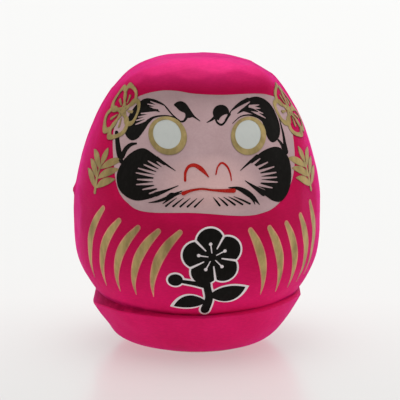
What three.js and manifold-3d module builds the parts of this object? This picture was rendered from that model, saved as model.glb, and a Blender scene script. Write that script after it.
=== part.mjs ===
// A daruma: a hollow papier-mache tumbler doll, weighted with clay so that it rights itself.
// Units are millimetres and +Z is up. The origin is on the floor under the middle of the doll, and its
// face looks along -Y.
//
// Every round piece starts as a lathe of its side outline, and then two rules give it the doll's true
// form: seat() turns round sections into oval ones and dips the belt at the front and back, and
// relief() shapes the hood, the face hollow, the nose and the mouth.
import * as THREE from "three";
import { mergeVertices } from "three/addons/utils/BufferGeometryUtils.js";
import Module from "manifold-3d";

const wasm = await Module();
wasm.setup();

// Driving dimensions.
const HEIGHT = 110;
const HALF_WIDTH = 46.5; // at the widest level
const WIDEST_Z = 50;
const PAPER_WALL = 1.8; // pulp shell of the body and the foot bowl
const GAP = 0.3; // between pieces that are glued face to face
const SEGMENTS = 64; // round one turn

// The belt, where the body meets the foot bowl. Radii and heights are the ones at the sides.
const MOUTH_RADIUS = 38.8; // outer edge of the body's open bottom
const MOUTH_Z = 21.4;
const RIM_RADIUS = 39.9; // edge of the foot bowl, the sharp lip under the body
const RIM_Z = 16.5;
const BELT_DIP = 4.2; // how much lower the belt runs at the front and back than at the sides
const LEDGE_RADIUS = MOUTH_RADIUS - 0.2; // flat ledge that the body sits on, above the lip
const LEDGE_Z = MOUTH_Z - 0.4;
const NECK_RADIUS = 36.4; // collar of the foot bowl that plugs into the body
const NECK_TOP_Z = 26;

// Oval plan: depth over width of a level section.
const DEPTH_RATIO = 0.94;
const BELT_PINCH = 0.07; // taken off that ratio at the belt
const REACH_ABOVE = 9; // how far the dip and the pinch fade above the belt
const REACH_BELOW = 3.5;

// The foot.
const FOOT_RADIUS = 21.5; // flat underside
const PAPER_DISC = 0.6; // thickness of the round paper under the foot
const DISC_MARGIN = 1; // the paper ends this far inside the edge of the flat underside
const UNDERSIDE_Z = PAPER_DISC + GAP;
const CLAY_TOP_Z = 14.5; // middle of the clay, which is slightly domed
const CLAY_DOME = 1.2; // how much lower its edge is
const CLAY_CHAMFER = 1.5;
const CLAY_FROM = 0.3; // share of the bowl's wall, from the lip down, that the clay leaves bare

// The face hollow, seen from the front.
const FACE_MID_Z = 78.5;
const FACE_HALF_WIDTH = 35;
const FACE_HALF_HEIGHT = 23;
const FACE_SINK = 3; // depth of the hollow at its middle height
const FACE_TILT = 0.3; // share by which it is deeper at the top and shallower at the bottom
const FACE_SQUARENESS = 3.2; // exponent of the superellipse that bounds it
const [EDGE_INNER, EDGE_OUTER] = [0.82, 1.1]; // the hollow's side wall, as shares of that bound

// Raised forms on the front: height, level, and how far each spreads up and across. A flatter one
// keeps its height further out to the sides.
const RAISED = {
  hood: { height: 3.6, z: 104, tall: 6.5, wide: 31, flatness: 2 },
  nose: { height: 2.6, z: 72.5, tall: 7, wide: 9.5, flatness: 1 },
  bridge: { height: 0.9, z: 84, tall: 8, wide: 8, flatness: 1 },
  mouth: { height: 1.4, z: 63.5, tall: 5.5, wide: 18, flatness: 1 },
};

// The relief starts this far forward of the seam, and has its full height at the second distance.
const [RELIEF_STARTS, RELIEF_FULL] = [2, 20];

const STRIP_WIDTH = 8; // washi strip glued over the seam, inside
const STRIP_THICKNESS = 0.5;
const STRIP_END_Z = 30;

const [CROWN_STEPS, FLANK_STEPS, BELLY_STEPS, BOWL_STEPS] = [5, 8, 6, 9];
const SHORTEST_STEP = 0.5; // an outline point closer than this to a cut is dropped

const MATERIALS = {
  pink_paper: { color: 0xd9146b, roughness: 0.55, metalness: 0 },
  washi: { color: 0xe9e2d2, roughness: 0.9, metalness: 0 },
  raw_clay: { color: 0x9a7a5c, roughness: 0.95, metalness: 0 },
  base_paper: { color: 0xefe6cf, roughness: 0.85, metalness: 0 },
};

const bell = (x) => Math.exp(-x * x);
const smooth = (from, to, x) => {
  const t = Math.min(1, Math.max(0, (x - from) / (to - from)));
  return t * t * (3 - 2 * t);
};

// 1 at the belt, fading above and below it.
const nearBelt = (z) =>
  bell((z - MOUTH_Z) / (z > MOUTH_Z ? REACH_ABOVE : REACH_BELOW));

// Makes a level section oval and dips the belt.
function seat(p) {
  const radius = Math.hypot(p.x, p.y);
  if (radius === 0) return;
  const alongY = p.y / radius;
  p.y *= DEPTH_RATIO - BELT_PINCH * nearBelt(p.z);
  p.z -= BELT_DIP * alongY * alongY * nearBelt(p.z);
}

// How far the front of the body stands out, or is hollowed where negative.
function relief(x, z) {
  const across = Math.abs(x / FACE_HALF_WIDTH);
  const up = (z - FACE_MID_Z) / FACE_HALF_HEIGHT;
  const edge =
    (across ** FACE_SQUARENESS + Math.abs(up) ** FACE_SQUARENESS) **
    (1 / FACE_SQUARENESS);
  const inside = 1 - smooth(EDGE_INNER, EDGE_OUTER, edge);
  const raised = Object.values(RAISED).map(
    (form) =>
      form.height *
      bell((z - form.z) / form.tall) *
      bell(Math.abs(x / form.wide) ** form.flatness),
  );
  const sunk = FACE_SINK * (1 + FACE_TILT * up) * inside;
  return raised.reduce((sum, height) => sum + height, 0) - sunk;
}

// Raises the relief along the line from the middle of the doll at face height. It fades out over the
// crown, so that the front meets the smooth back without a step.
function model(p) {
  const outward = new THREE.Vector3(p.x, p.y, p.z - FACE_MID_Z).normalize();
  const height = relief(p.x, p.z) * smooth(RELIEF_STARTS, RELIEF_FULL, -p.y);
  p.addScaledVector(outward, height);
}

const curve = (...points) =>
  new THREE.CubicBezierCurve(...points.map(([x, z]) => new THREE.Vector2(x, z)));

// The body's side outline: the flat crown, the flank down to the widest level, and the belly in to the
// mouth. The middle two points of each curve only steer it.
const SHOULDER = [29.5, 100.3];
const WIDEST = [HALF_WIDTH, WIDEST_Z];
const crownCurve = curve([0, HEIGHT], [15, HEIGHT], [24, 106.2], SHOULDER);
const flankCurve = curve(SHOULDER, [36.8, 92], [HALF_WIDTH, 72], WIDEST);
const bellyCurve = curve(WIDEST, [HALF_WIDTH, 40], [46.8, 32.9], [MOUTH_RADIUS, MOUTH_Z]);

// Points of a curve from one share of it to its end, moved inward at right angles to it.
function inset(path, steps, depth, from = 0) {
  return Array.from({ length: steps + 1 }, (_, i) => {
    const t = from + ((1 - from) * i) / steps;
    const along = path.getTangent(t);
    return path.getPoint(t).add(new THREE.Vector2(along.y, -along.x).multiplyScalar(depth));
  });
}

// The body's outline at a depth under its surface, from the crown down to the height endZ. The last
// stretch is cut, or carried on in a straight line, to end there.
function bodyLine(depth, endZ) {
  const line = [
    ...inset(crownCurve, CROWN_STEPS, depth),
    ...inset(flankCurve, FLANK_STEPS, depth).slice(1),
    ...inset(bellyCurve, BELLY_STEPS, depth).slice(1),
  ];
  line[0].x = 0; // the crown stays on the axis
  const past = line.findIndex((p) => p.y < endZ + SHORTEST_STEP);
  const last = past < 0 ? line.length - 1 : past;
  const [before, after] = [line[last - 1], line[last]];
  const share = (before.y - endZ) / (before.y - after.y);
  return [...line.slice(0, last), before.clone().lerp(after, share)];
}

// A closed outline turned about the vertical axis. It starts and ends on that axis.
function turned(outline, ...rules) {
  const geometry = new THREE.LatheGeometry(outline, SEGMENTS);
  geometry.rotateX(Math.PI / 2);
  const position = geometry.getAttribute("position");
  const p = new THREE.Vector3();
  for (let i = 0; i < position.count; i++) {
    p.fromBufferAttribute(position, i);
    rules.forEach((rule) => rule(p));
    position.setXYZ(i, p.x, p.y, p.z);
  }
  return geometry;
}

function solidOf(geometry) {
  const bare = geometry.clone();
  bare.deleteAttribute("normal");
  bare.deleteAttribute("uv");
  const merged = mergeVertices(bare, 1e-3);
  return new wasm.Manifold(
    new wasm.Mesh({
      numProp: 3,
      vertProperties: merged.getAttribute("position").array,
      triVerts: new Uint32Array(merged.index.array),
    }),
  );
}

function geometryOf(solid) {
  const mesh = solid.getMesh();
  const geometry = new THREE.BufferGeometry();
  const position = new THREE.BufferAttribute(mesh.vertProperties, 3);
  geometry.setAttribute("position", position);
  geometry.setIndex(new THREE.BufferAttribute(mesh.triVerts, 1));
  geometry.computeVertexNormals();
  return geometry;
}

// A box that spans the whole doll across and up, between two depths.
function slab(fromY, toY) {
  const size = 3 * HEIGHT;
  const box = new THREE.BoxGeometry(size, toY - fromY, size);
  return solidOf(box.translate(0, (fromY + toY) / 2, 0));
}

const whole = new THREE.Group();

function add(name, geometry, material) {
  const mesh = new THREE.Mesh(
    geometry,
    new THREE.MeshStandardMaterial(MATERIALS[material]),
  );
  mesh.name = name;
  whole.add(mesh);
}

// The pulp body, open at the bottom, in a front and a rear half that meet over the crown.
function bodyShell() {
  const outside = bodyLine(0, MOUTH_Z);
  const inside = bodyLine(PAPER_WALL, MOUTH_Z).reverse();
  return solidOf(turned([...outside, ...inside].reverse(), model, seat));
}

// The washi strip that backs the seam, an arch from side to side under the crown.
function seamStrip() {
  const outside = bodyLine(PAPER_WALL + GAP, STRIP_END_Z);
  const inside = bodyLine(PAPER_WALL + GAP + STRIP_THICKNESS, STRIP_END_Z).reverse();
  const lining = solidOf(turned([...outside, ...inside].reverse(), model, seat));
  return lining.intersect(slab(-STRIP_WIDTH / 2, STRIP_WIDTH / 2));
}

// Outside of the foot bowl, from the lip down to the edge of the flat underside.
const bowlCurve = curve(
  [RIM_RADIUS, RIM_Z],
  [36.9, 11.5],
  [30, UNDERSIDE_Z],
  [FOOT_RADIUS, UNDERSIDE_Z],
);

// The pulp bowl under the body: flat underside, curved wall, lip, ledge and collar.
function footBowl() {
  const outside = bowlCurve.getPoints(BOWL_STEPS).reverse();
  const collar = [
    [LEDGE_RADIUS, LEDGE_Z],
    [NECK_RADIUS, LEDGE_Z],
    [NECK_RADIUS, NECK_TOP_Z],
    [NECK_RADIUS - PAPER_WALL, NECK_TOP_Z],
    [NECK_RADIUS - PAPER_WALL, LEDGE_Z],
  ].map(([x, z]) => new THREE.Vector2(x, z));
  const inside = inset(bowlCurve, BOWL_STEPS, PAPER_WALL).slice(1);
  const [under, floor] = [UNDERSIDE_Z, UNDERSIDE_Z + PAPER_WALL].map(
    (z) => new THREE.Vector2(0, z),
  );
  return turned([under, ...outside, ...collar, ...inside, floor], seat);
}

// The lump of unfired clay that fills the bottom of the bowl.
function clayWeight() {
  const bed = inset(bowlCurve, BOWL_STEPS - 2, PAPER_WALL + GAP, CLAY_FROM);
  const top = [
    [bed[0].x - CLAY_CHAMFER, CLAY_TOP_Z - CLAY_DOME],
    [bed[0].x / 2, CLAY_TOP_Z - CLAY_DOME / 4],
    [0, CLAY_TOP_Z],
  ].map(([x, z]) => new THREE.Vector2(x, z));
  const bottom = new THREE.Vector2(0, UNDERSIDE_Z + PAPER_WALL + GAP);
  return turned([bottom, ...bed.reverse(), ...top], seat);
}

// The round of paper glued under the foot, which the doll stands on.
function baseDisc() {
  const radius = FOOT_RADIUS - DISC_MARGIN;
  const disc = new THREE.CylinderGeometry(radius, radius, PAPER_DISC, SEGMENTS);
  disc.rotateX(Math.PI / 2);
  return disc.scale(1, DEPTH_RATIO, 1).translate(0, 0, PAPER_DISC / 2);
}

const body = bodyShell();
add("front_shell", geometryOf(body.intersect(slab(-HEIGHT, -GAP / 2))), "pink_paper");
add("rear_shell", geometryOf(body.intersect(slab(GAP / 2, HEIGHT))), "pink_paper");
add("seam_strip", geometryOf(seamStrip()), "washi");
add("foot_bowl", footBowl(), "pink_paper");
add("clay_weight", clayWeight(), "raw_clay");
add("base_disc", baseDisc(), "base_paper");

export default whole;
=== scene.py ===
import math

import bmesh
import bpy
import numpy as np
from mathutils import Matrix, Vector, geometry, noise
from mathutils.bvhtree import BVHTree


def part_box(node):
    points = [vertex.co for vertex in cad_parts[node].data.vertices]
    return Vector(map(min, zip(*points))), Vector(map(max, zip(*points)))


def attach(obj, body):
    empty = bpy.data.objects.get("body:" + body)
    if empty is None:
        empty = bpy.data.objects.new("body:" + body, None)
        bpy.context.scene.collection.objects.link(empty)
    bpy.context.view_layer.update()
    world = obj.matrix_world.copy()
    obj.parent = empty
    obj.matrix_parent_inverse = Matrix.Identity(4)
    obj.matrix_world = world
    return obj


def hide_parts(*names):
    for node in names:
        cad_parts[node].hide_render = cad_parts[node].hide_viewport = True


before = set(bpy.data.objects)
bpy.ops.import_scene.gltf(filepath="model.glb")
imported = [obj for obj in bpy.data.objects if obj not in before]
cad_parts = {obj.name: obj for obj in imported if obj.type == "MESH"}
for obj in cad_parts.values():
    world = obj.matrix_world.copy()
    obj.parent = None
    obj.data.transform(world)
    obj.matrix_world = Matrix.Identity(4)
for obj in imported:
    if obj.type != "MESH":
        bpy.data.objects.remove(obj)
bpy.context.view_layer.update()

# What the frame gives: one design millimetre in metres, then sizes in those millimetres.
DESIGN_HEIGHT = 110.0
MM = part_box("rear_shell")[1].z / DESIGN_HEIGHT
HALF_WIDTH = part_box("rear_shell")[1].x / MM
RIM_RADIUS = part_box("foot_bowl")[1].x / MM
UNDERSIDE_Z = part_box("foot_bowl")[0].z / MM
NECK_TOP_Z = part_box("foot_bowl")[1].z / MM

# The side outline, as in the CAD: crown, flank, belly and foot. The middle two points only steer.
PAPER_WALL = 1.8
WIDEST = (HALF_WIDTH, 50)
SHOULDER = (29.5, 100.3)
MOUTH = (38.8, 21.4)
RIM = (RIM_RADIUS, 16.5)
CROWN_CURVE = [(0, DESIGN_HEIGHT), (15, DESIGN_HEIGHT), (24, 106.2), SHOULDER]
FLANK_CURVE = [SHOULDER, (36.8, 92), (HALF_WIDTH, 72), WIDEST]
BELLY_CURVE = [WIDEST, (HALF_WIDTH, 40), (46.8, 32.9), MOUTH]
FOOT_RADIUS = 21.5
BOWL_CURVE = [(FOOT_RADIUS, UNDERSIDE_Z), (30, UNDERSIDE_Z), (36.9, 11.5), RIM]
NECK_RADIUS = 36.4

# Oval sections and the dip of the belt at the front and back.
DEPTH_RATIO = 0.94
BELT_PINCH = 0.07
BELT_DIP = 4.2
REACH_ABOVE = 9
REACH_BELOW = 3.5

# The face hollow and what is raised on the front: height, level, spread up and across, flatness.
FACE_MID_Z = 78.5
FACE_HALF_WIDTH = 35
FACE_HALF_HEIGHT = 23
FACE_SINK = 3.0
FACE_TILT = 0.3
FACE_SQUARENESS = 3.2
EDGE_INNER, EDGE_OUTER = 0.82, 1.1
HOOD = (3.6, 104, 6.5, 31, 2)
NOSE = (2.6, 72.5, 7, 9.5, 1)
BRIDGE = (0.9, 84, 8, 8, 1)
LIPS = (1.4, 63.5, 5.5, 18, 1)
RELIEF_STARTS, RELIEF_FULL = 2, 20

# Hand-made unevenness.
LUMP_HEIGHT, LUMP_SIZE = 0.45, 17
DIMPLE_HEIGHT, DIMPLE_SIZE = 0.1, 5
FLATS, FLAT_DEPTH = 28, 0.5  # flat places left by shaping, spread over the body
LOWEST_FLAT, HIGHEST_FLAT = -12, 82  # how steeply they face up, in degrees
SEAM_RIDGE, SEAM_WIDTH, SEAM_FADE = 0.28, 1.3, 30  # it fades out over the crown
NUB_Z, NUB_HEIGHT, NUB_SIZE = 59.7, 0.9, 1.6
GOLDEN_ANGLE = math.pi * (3 - math.sqrt(5))
RIM_TILT = 0.8  # the foot's lip is this much lower on one side and higher on the other
RIM_LIFT, LIFT_REACH = 1.9, 18  # the lip rises this much in front, over this depth
RIM_TUCK, TUCK_RISE = 0.5, 0.5  # on the +X side the lip is pressed in and up by this much more
FOOT_BULGE, BULGE_Z, BULGE_TALL = 2.4, 2.8, 3.6  # the foot is fuller low on the -X side

# Mesh density, and the thickness of paint.
COLUMNS = 216  # round the whole body
CROWN_ROWS, FLANK_ROWS, BELLY_ROWS, BOWL_ROWS = 34, 64, 44, 30
EDGE_ROWS, LEDGE_ROWS, UNDERSIDE_ROWS = 6, 8, 8
CURVE_STEPS = 7  # points on a smooth line from each given point to the next
EDGE_ROUND = 0.3  # how far the paint rounds off the lip and the body's lower edge
LEDGE_GAP = 0.2  # between the foot's ledge and the outer wall of the body
COAT = 0.12  # thickness of one coat of paint
THIN_RIM = 0.55  # how much of a coat is missing at a mark's rim
FINEST_STROKE = 0.12
SHADE_REACH = 1.1  # how far the painted shade in the groove reaches up the body
SHADE_ON_LEFT, SHADE_SPREAD = 0.8, 0.8 * RIM_RADIUS  # painted shade that covers the ledge towards -X, the side away from the light
MERGE_DISTANCE = 1e-4  # points closer than this become one
SHARP_ANGLE = 42  # degrees between faces, above which an edge is left sharp
FAR = 3 * HALF_WIDTH  # well outside the doll


# ---------------------------------------------------------------- shape rules

def bell(x):
    return np.exp(-x * x)


def smooth(start, end, x):
    t = np.clip((x - start) / (end - start), 0, 1)
    return t * t * (3 - 2 * t)


def near_belt(z):
    return bell((z - MOUTH[1]) / np.where(z > MOUTH[1], REACH_ABOVE, REACH_BELOW))


def raised(form, x, z):
    height, level, tall, wide, flatness = form
    return height * bell((z - level) / tall) * bell(np.abs(x / wide) ** flatness)


def relief(x, z):
    """How far the front stands out, or is hollowed where negative."""
    up = (z - FACE_MID_Z) / FACE_HALF_HEIGHT
    power = FACE_SQUARENESS
    edge = (np.abs(x / FACE_HALF_WIDTH) ** power + np.abs(up) ** power) ** (1 / power)
    sunk = FACE_SINK * (1 + FACE_TILT * up) * (1 - smooth(EDGE_INNER, EDGE_OUTER, edge))
    return sum(raised(form, x, z) for form in (HOOD, NOSE, BRIDGE, LIPS)) - sunk


def outward(points):
    """Unit directions from the middle of the doll at face height."""
    direction = points - np.array([0, 0, FACE_MID_Z])
    return direction / np.linalg.norm(direction, axis=-1, keepdims=True)


def model(points):
    height = relief(points[..., 0], points[..., 2])
    fade = smooth(RELIEF_STARTS, RELIEF_FULL, -points[..., 1])
    return points + outward(points) * (height * fade)[..., None]


def seat(points):
    """Makes level sections oval and dips the belt."""
    x, y, z = np.moveaxis(points, -1, 0)
    radius = np.hypot(x, y)
    along_y = y / np.maximum(radius, 1e-6)
    near = near_belt(z)
    y = y * (DEPTH_RATIO - BELT_PINCH * near)
    z = z - BELT_DIP * along_y**2 * near
    return np.stack([x, y, z], axis=-1)


def lumps(points, size, offset):
    """Smooth unevenness from -1 to 1, the same on every run."""
    flat = points.reshape(-1, 3) / size + offset
    return np.array([noise.noise(Vector(p)) for p in flat]).reshape(points.shape[:-1])


def flattened(points):
    """Presses shallow flats into the body, spread round it from the belly to the crown."""
    for i in range(FLATS):
        share = i / FLATS
        rise = math.sin(math.radians(LOWEST_FLAT + (HIGHEST_FLAT - LOWEST_FLAT) * share))
        angle = GOLDEN_ANGLE * i
        level = math.sqrt(1 - rise * rise)
        facing = np.array([level * math.cos(angle), level * math.sin(angle), rise])
        reach = points @ facing
        over = np.maximum(reach - (reach.max() - FLAT_DEPTH), 0)
        points = points - facing * over[..., None]
    return points


def uneven(points):
    """Lumps and dimples in the pulp. The underside stays flat."""
    height = LUMP_HEIGHT * lumps(points, LUMP_SIZE, 3.1)
    height += DIMPLE_HEIGHT * lumps(points, DIMPLE_SIZE, 7.7)
    height *= smooth(UNDERSIDE_Z + 1, UNDERSIDE_Z + 7, points[..., 2])
    return points + outward(points) * height[..., None]


def by_hand(points):
    """The small unevenness of a body that is shaped, glued and painted by hand."""
    points = uneven(flattened(points))
    x, y, z = np.moveaxis(points, -1, 0)
    ridge = SEAM_RIDGE * bell(y / SEAM_WIDTH) * smooth(0, SEAM_FADE, np.abs(x))
    nub_distance = np.hypot(y, z - NUB_Z) / NUB_SIZE
    nub = NUB_HEIGHT * bell(nub_distance) * (x < 0)
    return points + outward(points) * (ridge + nub)[..., None]


def tilt_foot(points):
    """Tips the lip to one side, raises it in front, and fills the foot out low on one side."""
    x, y, z = np.moveaxis(points, -1, 0)
    lip = smooth(UNDERSIDE_Z, RIM[1], z) * (1 - smooth(RIM[1], MOUTH[1], z))
    right = smooth(0, RIM_RADIUS, x)
    raise_by = (RIM_TILT * x / RIM_RADIUS + RIM_LIFT * smooth(0, LIFT_REACH, -y)
                + TUCK_RISE * right)
    low = bell((z - BULGE_Z) / BULGE_TALL) * smooth(0, RIM_RADIUS, -x)
    aside = FOOT_BULGE * low + RIM_TUCK * right * lip**2
    return np.stack([x - aside, y, z + raise_by * lip], axis=-1)


# ---------------------------------------------------------------- outlines and grids

def bezier(points, rows):
    a, b, c, d = (np.array(p, float) for p in points)
    t = np.linspace(0, 1, rows + 1)[:, None]
    return a * (1 - t) ** 3 + 3 * b * t * (1 - t) ** 2 + 3 * c * t * t * (1 - t) + d * t**3


def rounded(before, corner, after, size):
    """Points round a corner, starting and ending the given distance from it."""
    before, corner, after = (np.array(p, float) for p in (before, corner, after))
    start = corner + (before - corner) / np.linalg.norm(before - corner) * size
    end = corner + (after - corner) / np.linalg.norm(after - corner) * size
    t = np.linspace(0, 1, EDGE_ROWS + 1)[:, None]
    return start * (1 - t) ** 2 + 2 * corner * t * (1 - t) + end * t**2


def inset(line, depth):
    """An outline moved inward, at right angles to itself. It runs down from the crown."""
    along = np.gradient(line, axis=0)
    along /= np.linalg.norm(along, axis=1, keepdims=True)
    return line + np.stack([along[:, 1], -along[:, 0]], axis=1) * depth


def turn(line):
    """Rows of points round the vertical axis, starting at the back."""
    angles = np.linspace(0, 2 * math.pi, COLUMNS, endpoint=False)
    x = line[:, :1] * np.sin(angles)
    y = line[:, :1] * np.cos(angles)
    z = np.broadcast_to(line[:, 1:], x.shape)
    return np.stack([x, y, z], axis=-1)


def body_outline():
    crown = bezier(CROWN_CURVE, CROWN_ROWS)
    flank = bezier(FLANK_CURVE, FLANK_ROWS)[1:]
    belly = bezier(BELLY_CURVE, BELLY_ROWS)[1:-1]
    under = (MOUTH[0] - PAPER_WALL, MOUTH[1])
    edge = rounded(belly[-1], MOUTH, under, EDGE_ROUND)
    keep = belly[:, 1] > edge[0, 1]
    return np.concatenate([crown, flank, belly[keep], edge])


def body_walls():
    """Grids of the body's outer and inner walls, row by row from the crown to the mouth."""
    outline = body_outline()
    lining = inset(outline, PAPER_WALL)
    lining[0, 0] = 0
    lining[:, 1] = np.maximum(lining[:, 1], MOUTH[1])
    lining[-EDGE_ROWS - 2:, 0] = MOUTH[0] - PAPER_WALL
    outer = by_hand(seat(model(turn(outline))))
    inner = seat(model(turn(lining)))
    return outer, inner


def foot_grid():
    """Grid of the foot bowl: underside, wall, lip, ledge, collar and inside.

    Its shade is painted shade: it deepens into the groove, is full on the collar and inside, and
    covers the ledge towards -X, away from the light.
    """
    bowl = bezier(BOWL_CURVE, BOWL_ROWS)
    ledge = np.array([MOUTH[0] - LEDGE_GAP, MOUTH[1]])
    lip = rounded(bowl[-2], RIM, ledge, EDGE_ROUND)
    keep = bowl[:, 1] < lip[0, 1]
    wall = lip[-1] + (ledge - lip[-1]) * np.linspace(0.1, 1, LEDGE_ROWS)[:, None]
    flat = np.linspace((0, UNDERSIDE_Z), (FOOT_RADIUS, UNDERSIDE_Z), UNDERSIDE_ROWS)[:-1]
    collar = np.array([
        (NECK_RADIUS, MOUTH[1]), (NECK_RADIUS, NECK_TOP_Z),
        (NECK_RADIUS - PAPER_WALL, NECK_TOP_Z), (NECK_RADIUS - PAPER_WALL, MOUTH[1])])
    lining = inset(bowl[::-3], PAPER_WALL)
    lining = lining[lining[:, 1] > UNDERSIDE_Z + PAPER_WALL]
    floor = np.array([(0, UNDERSIDE_Z + PAPER_WALL)])
    line = np.concatenate([flat, bowl[keep], lip, wall, collar, lining, floor])
    wall_starts = len(flat) + keep.sum() + len(lip)
    shade = np.zeros((len(line), COLUMNS))
    shade[wall_starts:] = 1
    grid = turn(line)
    # Painted shade over the ledge on the -X side, away from the light.
    shaded_left = SHADE_ON_LEFT * smooth(0, SHADE_SPREAD, -grid[wall_starts, :, 0])
    on_wall = slice(wall_starts, wall_starts + len(wall))
    shade[on_wall] = np.maximum(np.linspace(0, 1, len(wall))[:, None] ** 2, shaded_left)
    return tilt_foot(uneven(seat(grid))), shade


# ---------------------------------------------------------------- meshes

def add_piece(name, verts, faces, shade, material, replaced):
    """A closed, smooth mesh in metres that rides on the body. Shade is painted shade, kept on its
    points.
    """
    mesh = bpy.data.meshes.new(name)
    mesh.from_pydata([tuple(v * MM) for v in verts], [], faces)
    painted_shade = mesh.attributes.new("painted_shade", "FLOAT", "POINT")
    painted_shade.data.foreach_set("value", shade.astype(np.float32))
    solid = bmesh.new()
    solid.from_mesh(mesh)
    bmesh.ops.remove_doubles(solid, verts=solid.verts, dist=MERGE_DISTANCE * MM)
    bmesh.ops.recalc_face_normals(solid, faces=solid.faces)
    for face in solid.faces:
        face.smooth = True
    for edge in solid.edges:
        edge.smooth = edge.calc_face_angle(0) < math.radians(SHARP_ANGLE)
    solid.to_mesh(mesh)
    solid.free()
    mesh.materials.append(material)
    piece = bpy.data.objects.new(name, mesh)
    bpy.context.scene.collection.objects.link(piece)
    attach(piece, "root")
    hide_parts(*replaced)


def half_shell(name, outer, inner, columns, material, replaced):
    """Half of the hollow body: its two walls, its lower edge, and its cut edges at the seam."""
    ring = np.concatenate([outer[:, columns], inner[::-1, columns]])
    rows, width = ring.shape[:2]
    faces = [
        (r * width + c, r * width + c + 1, (r + 1) * width + c + 1, (r + 1) * width + c)
        for r in range(rows - 1) for c in range(width - 1)]
    for c in (0, width - 1):
        faces += [
            (r * width + c, (r + 1) * width + c,
             (rows - 2 - r) * width + c, (rows - 1 - r) * width + c)
            for r in range(rows // 2 - 1)]
    # Painted shade along the body's lower edge, where it meets the groove.
    above = ring[..., 2] - (MOUTH[1] - BELT_DIP * (ring[..., 1] / MOUTH[0]) ** 2)
    shade = bell(above / SHADE_REACH).reshape(-1)
    add_piece(name, ring.reshape(-1, 3), faces, shade, material, replaced)


def turned_piece(name, grid, shade, material, replaced):
    rows, width = grid.shape[:2]
    faces = [
        (r * width + c, r * width + (c + 1) % width,
         (r + 1) * width + (c + 1) % width, (r + 1) * width + c)
        for r in range(rows - 1) for c in range(width)]
    add_piece(name, grid.reshape(-1, 3), faces, shade.reshape(-1), material, replaced)


# ---------------------------------------------------------------- painted marks

class Skin:
    """The painted surface, to lay marks on. It turns flat places into points and normals."""

    def __init__(self, *grids):
        points, triangles, normals = [], [], []
        for grid in grids:
            rows, width = grid.shape[:2]
            base = len(points)
            points += [Vector(p) for p in grid.reshape(-1, 3)]
            down = np.gradient(grid, axis=0)
            around = np.roll(grid, -1, axis=1) - np.roll(grid, 1, axis=1)
            normal = np.cross(around, down)
            normal /= np.maximum(np.linalg.norm(normal, axis=-1, keepdims=True), 1e-9)
            normals += [Vector(n) for n in normal.reshape(-1, 3)]
            for r in range(rows - 1):
                for c in range(width):
                    a, b = base + r * width + c, base + r * width + (c + 1) % width
                    triangles += [(a, b, b + width), (a, b + width, a + width)]
        self.points, self.triangles, self.normals = points, triangles, normals
        self.tree = BVHTree.FromPolygons(points, triangles)

    def hit(self, origin, direction):
        place, facing, index, _ = self.tree.ray_cast(origin, direction)
        corners = self.triangles[index]
        normal = geometry.barycentric_transform(
            place, *(self.points[i] for i in corners), *(self.normals[i] for i in corners))
        normal = normal.normalized()
        return place, normal if normal.dot(direction) < 0 else -normal

    def front(self, u, v):
        """u across and v up, laid on from straight in front."""
        return self.hit(Vector((u, -FAR, v)), Vector((0, 1, 0)))

    def wrapped(self, u, v):
        """u round the body, from the middle of the front, and v up, laid on towards its axis."""
        angle = u / HALF_WIDTH
        inward = Vector((-math.sin(angle), math.cos(angle), 0))
        return self.hit(Vector((0, 0, v)) - inward * FAR, inward)


def arc(degrees):
    """How far round the body an angle is, for wrapped marks."""
    return math.radians(degrees) * HALF_WIDTH


def through(points, closed=False):
    """A smooth line through a few points."""
    p = np.array(points, float)
    if closed:
        p = np.concatenate([p[-1:], p, p[:2]])
    else:
        p = np.concatenate([2 * p[:1] - p[1:2], p, 2 * p[-1:] - p[-2:-1]])
    line = []
    for a, b, c, d in zip(p, p[1:], p[2:], p[3:]):
        for t in np.arange(CURVE_STEPS) / CURVE_STEPS:
            line.append(0.5 * (2 * b + (c - a) * t + (2 * a - 5 * b + 4 * c - d) * t * t
                               + (3 * b - a - 3 * c + d) * t**3))
    if not closed:
        line.append(p[-2])
    return np.array(line)


def disc(x, z, radius, tall=None, steps=28):
    angles = np.arange(steps) * 2 * math.pi / steps
    return [np.stack([x + radius * np.cos(angles), z + (tall or radius) * np.sin(angles)], 1)]


def blob(*points):
    return [through(points, closed=True)]


def stroke(*points, wider=0.0):
    """A brush stroke through (across, up, width), as short panels with round ends.

    Each panel also has points on the stroke's middle, so that paint_depth() sees its width.
    """
    line = through(points)
    along = np.gradient(line[:, :2], axis=0)
    along /= np.maximum(np.linalg.norm(along, axis=1, keepdims=True), 1e-9)
    half = np.maximum(line[:, 2:], FINEST_STROKE) / 2 + wider
    side = np.stack([-along[:, 1], along[:, 0]], axis=1) * half
    middle = line[:, :2]
    left, right = middle + side, middle - side
    panels = [np.array([left[i], middle[i], right[i], right[i + 1], middle[i + 1], left[i + 1]])
              for i in range(len(line) - 1)]
    ends = [disc(*line[i, :2], float(half[i, 0]), steps=14)[0] for i in (0, -1)]
    return panels + ends


def counter_clockwise(outline):
    x, z = outline.T
    area = np.sum(x * np.roll(z, -1) - np.roll(x, -1) * z)
    return outline if area > 0 else outline[::-1]


def fill(shapes, cuts, over, spacing):
    """Flat triangles over the shapes less the cuts, plus what lies over the cuts."""
    outlines = [counter_clockwise(o) for o in shapes + cuts + over]
    over_starts = len(shapes) + len(cuts)
    corners = [tuple(p) for o in outlines for p in o]
    starts = np.cumsum([0] + [len(o) for o in outlines])
    loops = [list(range(a, b)) for a, b in zip(starts, starts[1:])]
    low, high = np.min(corners, axis=0), np.max(corners, axis=0)
    inner = [(x, z) for x in np.arange(low[0], high[0], spacing)
             for z in np.arange(low[1], high[1], spacing)]
    flat, _, faces, _, _, owners = geometry.delaunay_2d_cdt(
        [Vector(p) for p in corners + inner], [], loops, 0, MERGE_DISTANCE, True)
    kept = [face for face, owner in zip(faces, owners)
            if owner and (max(owner) < len(shapes) or max(owner) >= over_starts)]
    used = sorted({i for f in kept for i in f})
    place = {old: new for new, old in enumerate(used)}
    return [flat[i] for i in used], [[place[i] for i in f] for f in kept]


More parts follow.
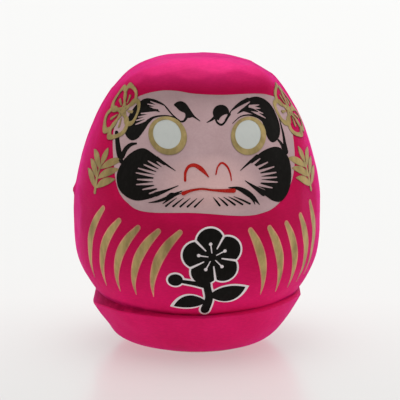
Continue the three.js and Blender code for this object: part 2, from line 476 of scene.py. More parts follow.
def mark(name, shapes, cuts, lay, coats, material, spacing=1.0, over=()):
    """Paint as a thin closed skin that follows the surface and is a little rounded at its rim.

    Lay puts flat places on the surface. Coats is how many coats high the paint's top is.
    """
    flat, faces = fill(shapes, cuts, list(over), spacing)
    edges = dict.fromkeys(edge for face in faces for edge in zip(face, face[1:] + face[:1]))
    rim = [(a, b) for a, b in edges if (b, a) not in edges]
    on_rim = {i for edge in rim for i in edge}
    top, bottom, normals = [], [], []
    for i, (u, v) in enumerate(flat):
        place, normal = lay(u, v)
        height = COAT * (coats - (THIN_RIM if i in on_rim else 0))
        top.append(place + normal * height)
        bottom.append(place - normal * COAT)
        normals.append(normal)
    count = len(flat)
    walls = [tuple(f) for f in faces] + [tuple(i + count for i in f[::-1]) for f in faces]
    walls += [(b, a, a + count, b + count) for a, b in rim]
    mesh = bpy.data.meshes.new(name)
    mesh.from_pydata([tuple(p * MM) for p in top + bottom], [], walls)
    mesh.polygons.foreach_set("use_smooth", [True] * len(walls))
    mesh.normals_split_custom_set_from_vertices([tuple(n) for n in normals + normals])
    paint_depth(mesh, flat, sorted(on_rim))
    mesh.materials.append(material)
    piece = bpy.data.objects.new(name, mesh)
    bpy.context.scene.collection.objects.link(piece)
    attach(piece, "root")


def paint_depth(mesh, flat, rim):
    """Stores how far each point lies inside the mark's rim, in millimetres."""
    points = np.array([tuple(p) for p in flat])
    edge = points[rim]
    inside = np.array([np.min(np.hypot(*(edge - p).T)) for p in points])
    attribute = mesh.attributes.new("inside", "FLOAT", "POINT")
    attribute.data.foreach_set("value", np.tile(inside, 2).astype(np.float32))


# ---------------------------------------------------------------- materials

class Nodes:
    """Short names for building a material's nodes."""

    def __init__(self, name, **constants):
        self.material = bpy.data.materials.new(name)
        self.material.use_nodes = True
        self.tree = self.material.node_tree
        self.shader = self.tree.nodes["Principled BSDF"]
        for socket, value in constants.items():
            self.shader.inputs[socket.replace("_", " ")].default_value = value
        self.where = self.add("ShaderNodeTexCoord").outputs["Object"]

    def add(self, kind, **settings):
        node = self.tree.nodes.new(kind)
        for key, value in settings.items():
            setattr(node, key, value)
        return node

    def link(self, source, target):
        self.tree.links.new(source, target)

    def noise(self, size_mm, detail=3.0, stretch=None):
        """Noise from 0 to 1 whose patches are about this size."""
        texture = self.add("ShaderNodeTexNoise")
        texture.inputs["Scale"].default_value = 1 / (size_mm * MM)
        texture.inputs["Detail"].default_value = detail
        texture.inputs["Roughness"].default_value = 0.55
        place = self.where
        if stretch:
            mapping = self.add("ShaderNodeMapping")
            mapping.inputs["Scale"].default_value = stretch
            self.link(self.where, mapping.inputs["Vector"])
            place = mapping.outputs["Vector"]
        self.link(place, texture.inputs["Vector"])
        return texture.outputs["Fac"]

    def ramp(self, factor, *stops):
        """Colours or greys along a factor: (place, value) pairs."""
        ramp = self.add("ShaderNodeValToRGB")
        elements = ramp.color_ramp.elements
        while len(elements) < len(stops):
            elements.new(0.5)
        for element, (place, value) in zip(elements, stops):
            element.position = place
            colour = value if isinstance(value, tuple) else (value,) * 3
            element.color = (*colour, 1)
        self.link(factor, ramp.inputs["Fac"])
        return ramp.outputs["Color"]

    def mix(self, factor, a, b, how="MIX"):
        node = self.add("ShaderNodeMix", data_type="RGBA", blend_type=how)
        for socket, value in ((node.inputs[0], factor), (node.inputs[6], a), (node.inputs[7], b)):
            if isinstance(value, tuple):
                socket.default_value = (*value, 1)
            elif isinstance(value, float):
                socket.default_value = value
            else:
                self.link(value, socket)
        return node.outputs[2]

    def bump(self, *layers):
        """Bumps on top of each other: (height source, depth in mm)."""
        normal = None
        for source, depth in layers:
            node = self.add("ShaderNodeBump")
            node.inputs["Strength"].default_value = 1
            node.inputs["Distance"].default_value = depth * MM
            self.link(source, node.inputs["Height"])
            if normal:
                self.link(normal, node.inputs["Normal"])
            normal = node.outputs["Normal"]
        self.link(normal, self.shader.inputs["Normal"])

    def height_share(self):
        """0 at the floor and 1 at the crown."""
        split = self.add("ShaderNodeSeparateXYZ")
        self.link(self.where, split.inputs[0])
        share = self.add("ShaderNodeMath", operation="DIVIDE")
        self.link(split.outputs["Z"], share.inputs[0])
        share.inputs[1].default_value = DESIGN_HEIGHT * MM
        return share.outputs[0]

    def near_point(self, centre, size):
        """1 at a point, falling to 0 at the edge of an ellipsoid round it. Both in mm."""
        mapping = self.add("ShaderNodeMapping")
        mapping.inputs["Scale"].default_value = [1 / (s * MM) for s in size]
        mapping.inputs["Location"].default_value = [-c / s for c, s in zip(centre, size)]
        self.link(self.where, mapping.inputs["Vector"])
        length = self.add("ShaderNodeVectorMath", operation="LENGTH")
        self.link(mapping.outputs["Vector"], length.inputs[0])
        return self.ramp(length.outputs["Value"], (0.1, 1.0), (1.0, 0.0))

    def colour(self, source):
        self.link(source, self.shader.inputs["Base Color"])

    def roughness(self, source):
        self.link(source, self.shader.inputs["Roughness"])


SATIN_IOR = 1.1  # for paint that has only a faint gloss


def pink_paint():
    """Thick hot-pink paint, brushed on in patches. Its colour carries painted light: brightest
    low down, where the floor's light falls, and on the crown, as a painted highlight.
    """
    n = Nodes("pink_paint", IOR=SATIN_IOR, Sheen_Weight=1.0, Sheen_Roughness=0.4,
              Sheen_Tint=(1, 0.02, 0.4, 1))
    # Painted light: lighter low down and on the crown, darker in between.
    painted_light_tone = n.ramp(n.height_share(), (0.0, (1, 0.018, 0.18)), (0.22, (0.97, 0.014, 0.17)),
                  (0.46, (0.63, 0.008, 0.083)), (0.9, (0.61, 0.005, 0.077)),
                  (0.99, (1, 0.04, 0.27)))
    patches = n.ramp(n.noise(14), (0.3, (0.88, 0.8, 0.78)), (0.7, (1, 1, 1)))
    strokes = n.noise(1.6, detail=5, stretch=(1, 1, 3.5))
    worn = n.ramp(strokes, (0.42, (0.93, 0.9, 0.93)), (0.62, (1, 1, 1)))
    paint = n.mix(1.0, n.mix(1.0, painted_light_tone, patches, "MULTIPLY"), worn, "MULTIPLY")
    painted_shade = n.add("ShaderNodeAttribute", attribute_name="painted_shade").outputs["Fac"]
    uneven_shade = n.mix(1.0, painted_shade, n.ramp(n.noise(3.5), (0.35, 0.6), (0.6, 1.0)), "MULTIPLY")
    # Painted shade: where the shade attribute is high, the pink turns deep crimson in the groove
    # and on the ledge towards -X.
    n.colour(n.mix(n.ramp(uneven_shade, (0.1, 0.0), (0.8, 0.8)), paint, (0.34, 0.002, 0.045)))
    n.roughness(n.ramp(n.noise(6), (0.3, 0.42), (0.7, 0.6)))
    n.bump((n.noise(2.6, detail=4), 0.09), (strokes, 0.035), (n.noise(0.35), 0.012))
    return n.material


def face_paint():
    """Matte flesh-pink paint, a little blotchy, with brush lines. The muzzle is painted paler, as
    painted light from the floor below.
    """
    n = Nodes("face_paint", IOR=SATIN_IOR)
    blotches = n.ramp(n.noise(9), (0.3, (0.52, 0.35, 0.36)), (0.7, (0.58, 0.4, 0.415)))
    # Painted light: the muzzle is paler, as if lit from the floor below.
    muzzle_light_mask = n.near_point((0.5, -38, 66.5), (20, 20, 12))
    with_muzzle_light = n.mix(muzzle_light_mask, blotches, (0.95, 0.61, 0.59))
    grain = n.ramp(n.noise(0.7), (0.35, (0.95, 0.94, 0.94)), (0.65, (1, 1, 1)))
    n.colour(n.mix(1.0, with_muzzle_light, grain, "MULTIPLY"))
    n.roughness(n.ramp(n.noise(4), (0.3, 0.5), (0.7, 0.64)))
    n.bump((n.noise(2.2, detail=4), 0.06), (n.noise(0.5, stretch=(1, 1, 3)), 0.02))
    return n.material


def brushed(name, edge, middle, thin, roughness, reach=0.35, uneven=1.0, **constants):
    """Paint put on in one stroke. Its rim has another colour, and bristle marks run through it.

    Reach is how far in from the rim that colour fades, and uneven is how dark thick paint gets.
    """
    n = Nodes(name, IOR=SATIN_IOR, **constants)
    inside = n.add("ShaderNodeAttribute", attribute_name="inside").outputs["Fac"]
    body = n.ramp(inside, (0.0, edge), (reach, middle))
    bristles = n.noise(0.9, detail=4, stretch=(1, 1, 0.35))
    streaked = n.mix(n.ramp(bristles, (0.45, 0.0), (0.75, 0.6)), body, thin)
    thick = n.ramp(n.noise(3.6, stretch=(1, 1, 0.4)), (0.32, (uneven,) * 3), (0.62, (1, 1, 1)))
    n.colour(n.mix(1.0, streaked, thick, "MULTIPLY"))
    n.roughness(n.ramp(n.noise(2), (0.3, roughness - 0.06), (0.7, roughness + 0.06)))
    n.bump((bristles, 0.03), (n.noise(2.6, detail=4), 0.05))
    return n.material


def black_ink():
    return brushed("black_ink", edge=(0.008, 0.007, 0.006), middle=(0.01, 0.009, 0.008),
                   thin=(0.018, 0.016, 0.015), roughness=0.45)


def gold_paint():
    return brushed("gold_paint", edge=(0.46, 0.35, 0.16), middle=(0.5, 0.37, 0.15),
                   thin=(0.62, 0.44, 0.22), roughness=0.42, reach=0.6, uneven=0.66, Metallic=0.6)


def rib_gold():
    """Gold thinned at the rim, so that the pink shows through."""
    return brushed("rib_gold", edge=(0.95, 0.32, 0.26), middle=(0.5, 0.37, 0.15),
                   thin=(0.62, 0.44, 0.22), roughness=0.42, reach=0.7, uneven=0.6, Metallic=0.6)


def white_paint():
    """The white of the eyes, a little yellow next to the gold."""
    return brushed("white_paint", edge=(0.6, 0.6, 0.41), middle=(0.6, 0.62, 0.59),
                   thin=(0.57, 0.59, 0.57), roughness=0.5, reach=0.5)


def bright_white():
    """The brighter, faintly pink white round the blossom on the belly."""
    return brushed("bright_white", edge=(1, 0.84, 0.87), middle=(1, 0.9, 0.92),
                   thin=(0.92, 0.84, 0.85), roughness=0.5, reach=0.5)


def red_paint():
    return brushed("red_paint", edge=(0.42, 0.012, 0.01), middle=(0.5, 0.02, 0.015),
                   thin=(0.56, 0.06, 0.045), roughness=0.42)


def clay():
    n = Nodes("unfired_clay")
    n.colour(n.ramp(n.noise(3, detail=6), (0.3, (0.22, 0.14, 0.085)), (0.7, (0.36, 0.25, 0.16))))
    n.roughness(n.ramp(n.noise(1), (0.3, 0.85), (0.7, 1.0)))
    n.bump((n.noise(4, detail=8), 0.5), (n.noise(0.4), 0.05))
    return n.material


def washi(name, light, dark):
    """Long-fibred handmade paper."""
    n = Nodes(name)
    fibres = n.noise(0.8, detail=6, stretch=(1, 0.25, 1))
    n.colour(n.ramp(fibres, (0.35, dark), (0.6, light)))
    n.roughness(n.ramp(n.noise(2), (0.3, 0.8), (0.7, 0.95)))
    n.bump((fibres, 0.06), (n.noise(3), 0.1))
    return n.material


def floor_surface():
    """A sheet of white acrylic, lit from below, with a soft gloss. It glows less in front."""
    n = Nodes("floor_surface", Base_Color=(0.36, 0.36, 0.357, 1), Roughness=0.25, IOR=1.75,
              Emission_Strength=0.43)
    dimmer = n.near_point((-60, -200, 0), (420, 270, 100))
    glow = n.mix(dimmer, (1.0, 1.0, 0.99), (0.7, 0.68, 0.67))
    n.link(glow, n.shader.inputs["Emission Color"])
    return n.material


# ---------------------------------------------------------------- camera, light and floor

CAMERA_AZIMUTH = math.radians(-5)
CAMERA_ELEVATION = math.radians(11)
CAMERA_DISTANCE = 650
LENS = 154.5
AIM_Z = 53  # the camera looks at the axis at this height, then the frame is shifted a little
AIM_RIGHT, AIM_UP = 0.95, 1.2
FLOOR_REACH = 4.0  # metres each way from the doll


def add_camera():
    a, e = CAMERA_AZIMUTH, CAMERA_ELEVATION
    back = Vector((math.sin(a) * math.cos(e), -math.cos(a) * math.cos(e), math.sin(e)))
    right = Vector((math.cos(a), math.sin(a), 0))
    aim = Vector((0, 0, AIM_Z)) + right * AIM_RIGHT + back.cross(right) * AIM_UP
    data = bpy.data.cameras.new("camera")
    data.lens = LENS
    data.clip_start = 0.01
    camera = bpy.data.objects.new("camera", data)
    camera.location = (aim + back * CAMERA_DISTANCE) * MM
    camera.rotation_euler = back.to_track_quat("Z", "Y").to_euler()
    bpy.context.scene.collection.objects.link(camera)
    bpy.context.scene.camera = camera


def add_floor():
    mesh = bpy.data.meshes.new("floor")
    corners = [(x * FLOOR_REACH, y * FLOOR_REACH, 0)
               for x, y in ((-1, -1), (1, -1), (1, 1), (-1, 1))]
    mesh.from_pydata(corners, [], [(0, 1, 2, 3)])
    mesh.materials.append(floor_surface())
    floor = bpy.data.objects.new("floor", mesh)
    bpy.context.scene.collection.objects.link(floor)


FRONT_LIGHT, BACK_LIGHT, TOP_LIGHT = 0.01, 0.7, 4.6
BRIGHT_SIDE = (0.5, 0.87, 0)  # the tent is brightest behind the doll and a little to its right
SIDE_LIGHT, SIDE_FOCUS = 0.4, 4  # more light at both sides, and how tightly it gathers there
TOP_FOCUS = 10  # how tightly the light gathers overhead


def add_studio():
    """A light tent: bright overhead, lit behind and at the sides, and open towards the front."""
    world = bpy.data.worlds.new("light_tent")
    bpy.context.scene.world = world
    world.use_nodes = True
    nodes, links = world.node_tree.nodes, world.node_tree.links

    def math_node(operation, *values):
        """Its values are numbers or the outputs of other nodes."""
        node = nodes.new("ShaderNodeMath")
        node.operation = operation
        for socket, value in zip(node.inputs, values):
            if isinstance(value, bpy.types.NodeSocket):
                links.new(value, socket)
            else:
                socket.default_value = value
        return node.outputs[0]

    direction = nodes.new("ShaderNodeTexCoord").outputs["Generated"]
    split = nodes.new("ShaderNodeSeparateXYZ")
    links.new(direction, split.inputs[0])
    side = nodes.new("ShaderNodeVectorMath")
    side.operation = "DOT_PRODUCT"
    links.new(direction, side.inputs[0])
    side.inputs[1].default_value = BRIGHT_SIDE
    depth = nodes.new("ShaderNodeMapRange")
    depth.inputs["From Min"].default_value = -1
    depth.inputs["To Min"].default_value = FRONT_LIGHT
    depth.inputs["To Max"].default_value = BACK_LIGHT
    links.new(side.outputs["Value"], depth.inputs["Value"])
    overhead = math_node("POWER", math_node("MAXIMUM", split.outputs["Z"], 0), TOP_FOCUS)
    aside = math_node("POWER", math_node("ABSOLUTE", split.outputs["X"]), SIDE_FOCUS)
    total = math_node("MULTIPLY_ADD", overhead, TOP_LIGHT, depth.outputs[0])
    total = math_node("MULTIPLY_ADD", aside, SIDE_LIGHT, total)
    links.new(total, nodes["Background"].inputs["Strength"])
    nodes["Background"].inputs["Color"].default_value = (1, 1, 0.99, 1)
    bpy.context.scene.view_settings.view_transform = "Standard"


# ---------------------------------------------------------------- the face

def face_ground(skin, material):
    outline = blob(
        (-32.6, 79), (-32.2, 70), (-31, 64), (-28, 60.2), (-22.3, 57.6), (-5, 57.8), (12, 56.3),
        (19.5, 56.6), (25, 58.4), (30, 63), (33, 70), (33.6, 78.5), (32.4, 87), (29.2, 93.5),
        (24.5, 96.3), (18, 97.5), (5, 97.8), (-4, 98.4), (-10, 99.3), (-16, 99),
        (-23, 96.4), (-29, 90.5), (-31.8, 85))
    mark("face_ground", outline, [], skin.front, 1, material)


def feathers(focus, near, ends, width=0.9, tip=0.45):
    """Bare lines between brush hairs. They fan out from near a focus to the given ends."""
    fan = []
    for end in ends:
        reach = np.array(end) - focus
        start = focus + reach / np.linalg.norm(reach) * near
        middle = (start + end) / 2
        fan += stroke((*start, width * 1.3), (*middle, width), (*end, tip))
    return fan


def brow_left(skin, material):
    shapes = blob(
        (-16.9, 95.7), (-20.4, 96), (-23.6, 93.6), (-26.5, 89.4), (-28, 85.6), (-27.8, 82.8),
        (-26, 81.4), (-23.8, 82.2), (-21.6, 84.8), (-19.8, 87.4), (-17.6, 89.8), (-16, 91.4),
        (-16.4, 93), (-15.6, 94.6))
    shapes += stroke((-8.7, 88.7, 0.5), (-11.4, 90.9, 0.5), (-14.2, 94, 0.6), (-17.5, 95.4, 1))
    shapes += blob(
        (-10.7, 94.4), (-8.7, 95.6), (-6.6, 94.9), (-4.9, 92.5), (-3.9, 90.8), (-5.5, 90),
        (-6.8, 90.4), (-7, 91.5), (-8.7, 92.3), (-9.9, 93.4))
    shapes += stroke((-4.6, 91, 1.1), (-3.4, 90.1, 0.6), (-1.8, 89, 0.2))
    shapes += stroke((-8.8, 88.7, 0.5), (-7.4, 89, 0.7), (-6.3, 90.5, 1))
    cuts = feathers((-13.4, 93), 1, ((-18.8, 95), (-19.8, 94), (-20, 92.9)), 0.8, 0.3)
    cuts += feathers((-14.5, 91.6), 1.6, ((-22.2, 90.6), (-23.2, 89.3), (-24, 88.1),
                                          (-24.2, 86.8)), 0.85, 0.4)
    lid = stroke((-23.6, 84.2, 1.4), (-22, 86.2, 1), (-19.8, 88.5, 0.8), (-17.4, 89.9, 0.6),
                 (-13.7, 90.5, 0.4), (-10.4, 89.9, 0.4), (-8.7, 88.7, 0.5))
    sliver = stroke((-22.6, 91.9, 1.8), (-19.6, 92.6, 1), (-15.8, 91.7, 0.2))
    mark("brow_left", shapes, cuts, skin.front, 2, material, 1.2,
         lid + sliver)


def brow_right(skin, material):
    shapes = blob(
        (13.6, 94.9), (17, 96.1), (20, 96.2), (23.1, 94.7), (25.7, 92), (27.5, 88.1),
        (28.3, 84.6), (27.6, 81.6), (25.6, 80.2), (23.9, 80.7), (22.6, 82.8), (21.9, 85.4),
        (21, 87.8), (19, 89.6), (16, 91), (13.4, 92), (12.4, 93.4))
    shapes += disc(5.9, 91.6, 3.0, 2.7)
    shapes += stroke((3.8, 90.4, 1.2), (2.3, 89.3, 0.7), (0.6, 88.5, 0.2))
    shapes += stroke((3.7, 89.9, 0.7), (4.4, 88.3, 0.7), (5.9, 87.6, 0.7), (7.3, 88.6, 0.7),
                     (8.6, 90.4, 0.8), (10.6, 92.5, 1), (13.2, 94.4, 1.1), (16, 95.6, 1.2))
    cuts = blob((4.9, 88.9), (6, 90.4), (8.2, 91), (7.3, 89.4), (6, 88.4))
    cuts += stroke((10.6, 91, 2.4), (13.6, 93, 1.3), (16.8, 94.6, 0.4))
    cuts += feathers((15.4, 93), 1.4, ((20.4, 93.2), (20.8, 92), (21.8, 90.2), (22.6, 88.6)),
                     0.8, 0.3)
    lid = stroke((23.2, 86, 2), (21.6, 88, 1.3), (19.2, 89.4, 0.8), (16, 90.2, 0.5),
                 (12.8, 89.8, 0.4), (9.9, 87.8, 0.2))
    sliver = stroke((12, 91, 0.3), (14.6, 92.2, 1.2), (17.4, 91.9, 1), (19.8, 91, 0.3))
    mark("brow_right", shapes, cuts, skin.front, 2, material, 1.2,
         lid + sliver)


def cheek_left(skin, material):
    shapes = blob(
        (-21.7, 79.1), (-24.8, 78.1), (-28, 75.5), (-30.4, 72), (-31.5, 68.6), (-31, 65),
        (-28.8, 62.5), (-25.4, 61.2), (-21.6, 61.7), (-17.6, 63.3), (-15.6, 65), (-17.2, 65.4),
        (-18.9, 67.6), (-18.2, 70.7), (-16.6, 72.8), (-14.8, 73.9), (-15.8, 75.4), (-18.6, 77.6))
    slivers = stroke((-17.4, 76, 1.6), (-14.4, 74.3, 0.8), (-11.1, 72.3, 0.2))
    slivers += stroke((-18, 63.8, 1.6), (-14.2, 65.4, 0.8), (-10.2, 67.2, 0.2))
    shapes += stroke((-31, 83.4, 1.3), (-30.8, 80, 1.6), (-30.4, 76.8, 1.9), (-29.8, 74, 1.6))
    shapes += stroke((-24.3, 80.5, 0.6), (-26.2, 79.9, 1.1), (-28, 78.2, 1.4), (-29.4, 75.6, 1.6))
    cuts = feathers((-8.6, 69), 6, (
        (-17.3, 74.9), (-20.3, 74.9), (-21.8, 73.6), (-23.8, 72.2), (-24.6, 70.6), (-24.2, 68.4),
        (-24.6, 66.6), (-22.5, 65.1), (-20.2, 63.9)))
    mark("cheek_left", shapes, cuts, skin.front, 2, material, 1.2, slivers)


def cheek_right(skin, material):
    shapes = blob(
        (24.4, 78.6), (27.2, 78.2), (29.6, 76.4), (31.4, 72.8), (31.6, 67.5), (30.2, 62.8),
        (27.3, 59.9), (24, 60.4), (20.6, 62.9), (17.4, 65.2), (19.2, 66.4), (20, 68.6),
        (19.2, 71.4), (17.8, 73), (16.2, 74.2), (17.4, 75.6), (20.6, 77.6))
    slivers = stroke((18.6, 76, 1.6), (15.4, 74.2, 0.9), (12.1, 71.9, 0.2))
    slivers += stroke((20.6, 63.4, 2.2), (17, 65.9, 1.1), (13.7, 68.3, 0.2))
    shapes += stroke((28.3, 87.6, 0.3), (28.8, 85.4, 0.5), (29.4, 82.4, 0.8), (29.8, 79, 1.2),
                     (30.2, 76.2, 1.6))
    shapes += stroke((27.1, 80.8, 0.6), (28.4, 79.2, 1), (29.4, 77.2, 1.5))
    cuts = feathers((9.8, 69.4), 6, (
        (19.6, 75.2), (22.5, 73.7), (24.9, 71.9), (25.7, 69.9), (25.8, 68.2), (26, 66.5),
        (23.9, 64.8), (21, 64.4)))
    mark("cheek_right", shapes, cuts, skin.front, 2, material, 1.2, slivers)


def moustache(skin, material):
    shapes = stroke((-20.5, 60.7, 0.2), (-17.5, 61.4, 0.8), (-14.6, 62.6, 1.1), (-12, 64, 1),
                    (-8.9, 65.5, 0.2))
    shapes += stroke((-15.6, 60.7, 0.3), (-13.6, 62.3, 0.7), (-11.2, 63.9, 0.6), (-9, 64.7, 0.2))
    shapes += stroke((-14.2, 63.5, 0.2), (-12.6, 64.3, 0.8), (-11, 64.4, 0.3))
    shapes += stroke((7.6, 66.4, 0.3), (11, 65.9, 1.2), (14, 64.3, 1.9), (16.6, 62.2, 1.5),
                     (18.9, 59.6, 0.2))
    shapes += stroke((14.6, 63.6, 1), (16.4, 61.6, 0.9), (17.2, 59.8, 0.2))
    mark("moustache", shapes, [], skin.front, 2, material, 0.8)


def chin_hairs(skin, material):
    hairs = []
    for i in range(5):
        foot, lean = -14.6 + 2.5 * i, 3.8 - 0.15 * i
        hairs += stroke((foot, 59.9, 0.7), (foot + lean / 2, 61.5, 0.5), (foot + lean, 63, 0.15))
    for i in range(5):
        top, lean = 2 + 1.85 * i, 2.3 + 0.9 * i
        hairs += stroke((top, 63.2, 0.15), (top + lean / 2, 61.8, 0.6), (top + lean, 60.2, 0.7))
    mark("chin_hairs", hairs, [], skin.front, 2, material, 0.8)


def nose(skin, material):
    arcs = stroke((-7.8, 69.1, 0.9), (-7.6, 71.9, 0.9), (-6.4, 73.9, 1), (-4.3, 74.4, 1.3),
                  (-1.9, 73, 1.5), (0.4, 70.5, 0.4))
    arcs += stroke((3, 71.3, 0.5), (3.7, 73.7, 0.6), (5.3, 75, 0.7), (7.2, 73.6, 0.7),
                   (8.3, 71, 0.6), (8.6, 68.8, 0.4))
    mark("nose", arcs, [], skin.front, 2, material, 0.8)


def mouth(skin, material):
    line = stroke((-8.5, 64.6, 1.4), (-5.8, 65.7, 0.9), (-2.1, 66.3, 0.7), (2, 65.8, 0.8),
                  (6, 65.4, 1.2), (9.4, 65.2, 1.5))
    mark("mouth", line, [], skin.front, 3, material, 0.8)


EYES = {"left": (-13.5, 84.3), "right": (15.5, 83.7)}
EYE_RADIUS, EYE_LAP = 5.1, 0.25  # the ring laps over the white by this much
RING_WIDE, RING_TALL, RING_RIGHT, RING_DOWN = 6.65, 6.4, 0.2, 0.45


def eye(side, x, z, skin, white, gold):
    """A white disc in a gold ring. The ring's outer edge is a little off centre."""
    mark(f"eye_white_{side}", disc(x, z, EYE_RADIUS, steps=48), [], skin.front, 2, white)
    rim = disc(x + RING_RIGHT, z - RING_DOWN, RING_WIDE, RING_TALL, steps=56)
    hole = disc(x, z, EYE_RADIUS - EYE_LAP, steps=48)
    mark(f"eye_ring_{side}", rim, hole, skin.front, 3, gold, 0.8)


# ---------------------------------------------------------------- the robe's ornament

PETALS = 5
RIBS = 5
RIB_STEP = 10.2  # degrees from one rib to the next
RIB_TOP_Z, RIB_TOP_RISE = 51, 6  # the outer ribs start and end higher
RIB_FOOT_Z, RIB_FOOT_RISE = 25.6, 3.6
RIB_WIDTHS = (2.1, 3.4, 3.8, 3, 1.7, 0.3)
RIB_DROPS = (0, 0.18, 0.39, 0.61, 0.82, 1)  # where along a rib each width is
EARLY_LEAN, MID_SWING, LATE_SWING = 0.55, 0.5, 0.85  # shares of the lean, then of the swing
STRAIGHTEN = 0.3  # how much of a rib's tuck comes off its lean


def ribs(side, skin, gold, sign, first, lean, sweep, tuck):
    """Curved gold strokes down each side of the belly, each thick above and pointed below.

    The one nearest the middle starts at first. Each leans out by lean, then its tip swings on to
    sweep. Outer tips are tucked back in, the outermost by the whole tuck. All are degrees round
    the body.
    """
    for i in range(RIBS):
        outer = (i / (RIBS - 1)) ** 3
        top = RIB_TOP_Z + RIB_TOP_RISE * outer
        tall = top - RIB_FOOT_Z - RIB_FOOT_RISE * outer
        tip = sweep - tuck * outer
        bend = lean - STRAIGHTEN * tuck * outer
        swing = tip - bend
        turns = (0, EARLY_LEAN * bend, bend,
                 bend + MID_SWING * swing, bend + LATE_SWING * swing, tip)
        points = [(sign * arc(first + RIB_STEP * i + turn), top - drop * tall, width)
                  for turn, drop, width in zip(turns, RIB_DROPS, RIB_WIDTHS)]
        mark(f"rib_{side}_{i + 1}", stroke(*points), [], skin.wrapped, 1, gold)


def blossom(name, skin, gold, degrees, z, radius, turned):
    """A flower drawn in brush line, with a stamen in each petal."""
    heart = np.array([arc(degrees), z])
    shapes = disc(*heart, radius * 0.13)
    for i in range(PETALS):
        angle = math.radians(turned) + i * 2 * math.pi / PETALS
        out = np.array([math.cos(angle), math.sin(angle)]) * radius
        across = np.array([-out[1], out[0]])
        petal = [(0.16, 0.04, 0.9), (0.45, 0.38, 1.5), (0.82, 0.36, 2.1), (0.94, 0, 1.5),
                 (0.86, -0.36, 1.9), (0.45, -0.38, 1.3), (0.16, -0.04, 0.8)]
        shapes += stroke(*((*(heart + out * o + across * a), w) for o, a, w in petal))
        shapes += stroke((*(heart + out * 0.3), 0.5), (*(heart + out * 0.58), 1.1))
    mark(name, shapes, [], skin.wrapped, 3, gold, 1.2)


def leaf(root, tip, width, bend=0.0, wider=0.0):
    """The outline of a pointed leaf. Bend moves its middle to the left of root to tip."""
    root, tip = np.array(root, float), np.array(tip, float)
    along = (tip - root) / np.linalg.norm(tip - root)
    left = np.array([-along[1], along[0]])
    root, tip = root - along * wider, tip + along * wider * 2
    outline = []
    for end, other, side in ((root, tip, 1), (tip, root, -1)):
        swell = left * side * (width / 2 + wider)
        curve = [end, end * 0.75 + other * 0.25 + left * bend * 0.8 + swell * 1.2,
                 end * 0.35 + other * 0.65 + left * bend * 1.2 + swell * 1.25, other]
        outline.append(bezier(curve, 12)[:-1])
    return [np.concatenate(outline)]


def sprig(name, skin, gold, degrees, z, length, turned):
    """A stem with pairs of leaves and one at its tip."""
    base = np.array([arc(degrees), z])
    along = np.array([math.cos(math.radians(turned)), math.sin(math.radians(turned))])
    across = np.array([-along[1], along[0]])
    tip = base + along * length
    shapes = stroke((*base, 1.4), (*((base + tip) / 2 + across * 0.6), 1.2), (*tip, 0.9))
    for share in (0.12, 0.4, 0.68):
        for sign in (-1, 1):
            root = base + along * length * share
            end = root + (along * 0.42 + across * sign * 0.72) * length
            shapes += leaf(root, end, 0.25 * length, sign * -0.8)
    shapes += leaf(base + along * length * 0.8, base + along * length * 1.3, 0.25 * length)
    mark(name, shapes, [], skin.wrapped, 2, gold, 1.2)


PLUM, PLUM_RADIUS = np.array([1.6, 41.8]), 10.4
PETAL_OUT, PETAL_SIZE, HEART_SIZE = 0.56, 0.47, 0.2  # shares of the flower's radius
FIRST_PETAL = 98  # the first petal points this way, in degrees from +X
TWIG = [(1, 40, 2), (-0.2, 32, 2.5), (0.8, 26, 2.9), (-0.4, 21, 3.2)]
SHOOT = [(-0.2, 31.2, 2.8), (-4.6, 32, 1.7), (-9.4, 32.8, 1.3)]
BUD = (-11.4, 33.2)
LEAVES = [((0.6, 26.8), (14, 29.6), 6.8, -1.2), ((0, 24.4), (-11.6, 22.2), 5.6, -1.6)]


def ring_of_petals(wider):
    """Round petals about the flower's heart."""
    petals = disc(*PLUM, PLUM_RADIUS * HEART_SIZE, steps=14)
    for i in range(PETALS):
        angle = math.radians(FIRST_PETAL) + i * 2 * math.pi / PETALS
        middle = PLUM + np.array([math.cos(angle), math.sin(angle)]) * PLUM_RADIUS * PETAL_OUT
        petals += disc(*middle, PLUM_RADIUS * PETAL_SIZE + wider, steps=36)
    return petals


def stamens():
    """Bare lines and dots in the middle of the flower, and bare gaps between its petals."""
    bare = []
    for i in range(2 * PETALS):
        angle = math.radians(FIRST_PETAL) + i * math.pi / PETALS
        out = np.array([math.cos(angle), math.sin(angle)]) * PLUM_RADIUS
        if i % 2:
            bare += stroke((*(PLUM + out * 0.34), 0.5), (*(PLUM + out * 0.9), 1))
        else:
            bare += stroke((*(PLUM + out * 0.16), 0.4), (*(PLUM + out * 0.42), 0.5))
            bare += disc(*(PLUM + out * 0.48), 0.65, steps=14)
    return bare


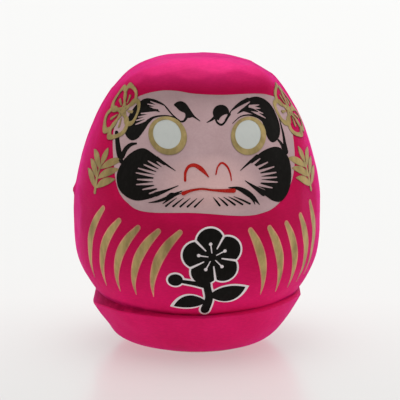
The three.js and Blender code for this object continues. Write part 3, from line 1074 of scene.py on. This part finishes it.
def belly_blossom(skin, black, white):
    """A plum blossom on a leafy twig with a bud, in black with a white outline."""
    for name, wider, cuts, coats, paint, slot in (
            ("belly_blossom_outline", 0.7, [], 1, white, "white_paint"),
            ("belly_blossom", 0.0, stamens(), 2, black, "black_paint")):
        shapes = ring_of_petals(wider) + stroke(*TWIG, wider=wider) + stroke(*SHOOT, wider=wider)
        shapes += disc(*BUD, 2.6 + wider, 2.3 + wider)
        for root, tip, width, bend in LEAVES:
            shapes += leaf(root, tip, width, bend, wider)
        mark(name, shapes, cuts, skin.front, coats, paint)


# ---------------------------------------------------------------- assembly

add_camera()
add_floor()
add_studio()

pink = pink_paint()
outer, inner = body_walls()
foot, foot_shade = foot_grid()
quarter_turn, half_turn = COLUMNS // 4, COLUMNS // 2
front_columns = np.arange(quarter_turn, quarter_turn + half_turn + 1)
rear_columns = (front_columns + half_turn) % COLUMNS
half_shell("front_shell_painted", outer, inner, front_columns, pink, ["front_shell"])
half_shell("rear_shell_painted", outer, inner, rear_columns, pink, ["rear_shell"])
turned_piece("foot_bowl_painted", foot, foot_shade, pink, ["foot_bowl"])

skin = Skin(outer, foot)
black = black_ink()
gold = gold_paint()
gold_for_ribs = rib_gold()
white = white_paint()
white_for_outline = bright_white()
red = red_paint()

face_ground(skin, face_paint())
brow_left(skin, black)
brow_right(skin, black)
cheek_left(skin, black)
cheek_right(skin, black)
moustache(skin, black)
chin_hairs(skin, black)
nose(skin, red)
mouth(skin, red)
for side, (x, z) in EYES.items():
    eye(side, x, z, skin, white, gold)

ribs("left", skin, gold_for_ribs, sign=-1, first=13, lean=10, sweep=16, tuck=3)
ribs("right", skin, gold_for_ribs, sign=1, first=20.5, lean=6, sweep=10, tuck=8)
blossom("blossom_left", skin, gold, degrees=-60, z=91, radius=9.8, turned=70)
blossom("blossom_right", skin, gold, degrees=68, z=90, radius=9.6, turned=110)
sprig("sprig_left", skin, gold, degrees=-61, z=62, length=12.5, turned=84)
sprig("sprig_right", skin, gold, degrees=63, z=61.5, length=12.5, turned=97)
belly_blossom(skin, black, white_for_outline)

for node, material in (
        ("seam_strip", washi("seam_washi", (0.8, 0.76, 0.66), (0.66, 0.6, 0.48))),
        ("clay_weight", clay()),
        ("base_disc", washi("base_paper", (0.84, 0.8, 0.68), (0.7, 0.64, 0.5)))):
    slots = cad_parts[node].data.materials
    slots.clear()
    slots.append(material)
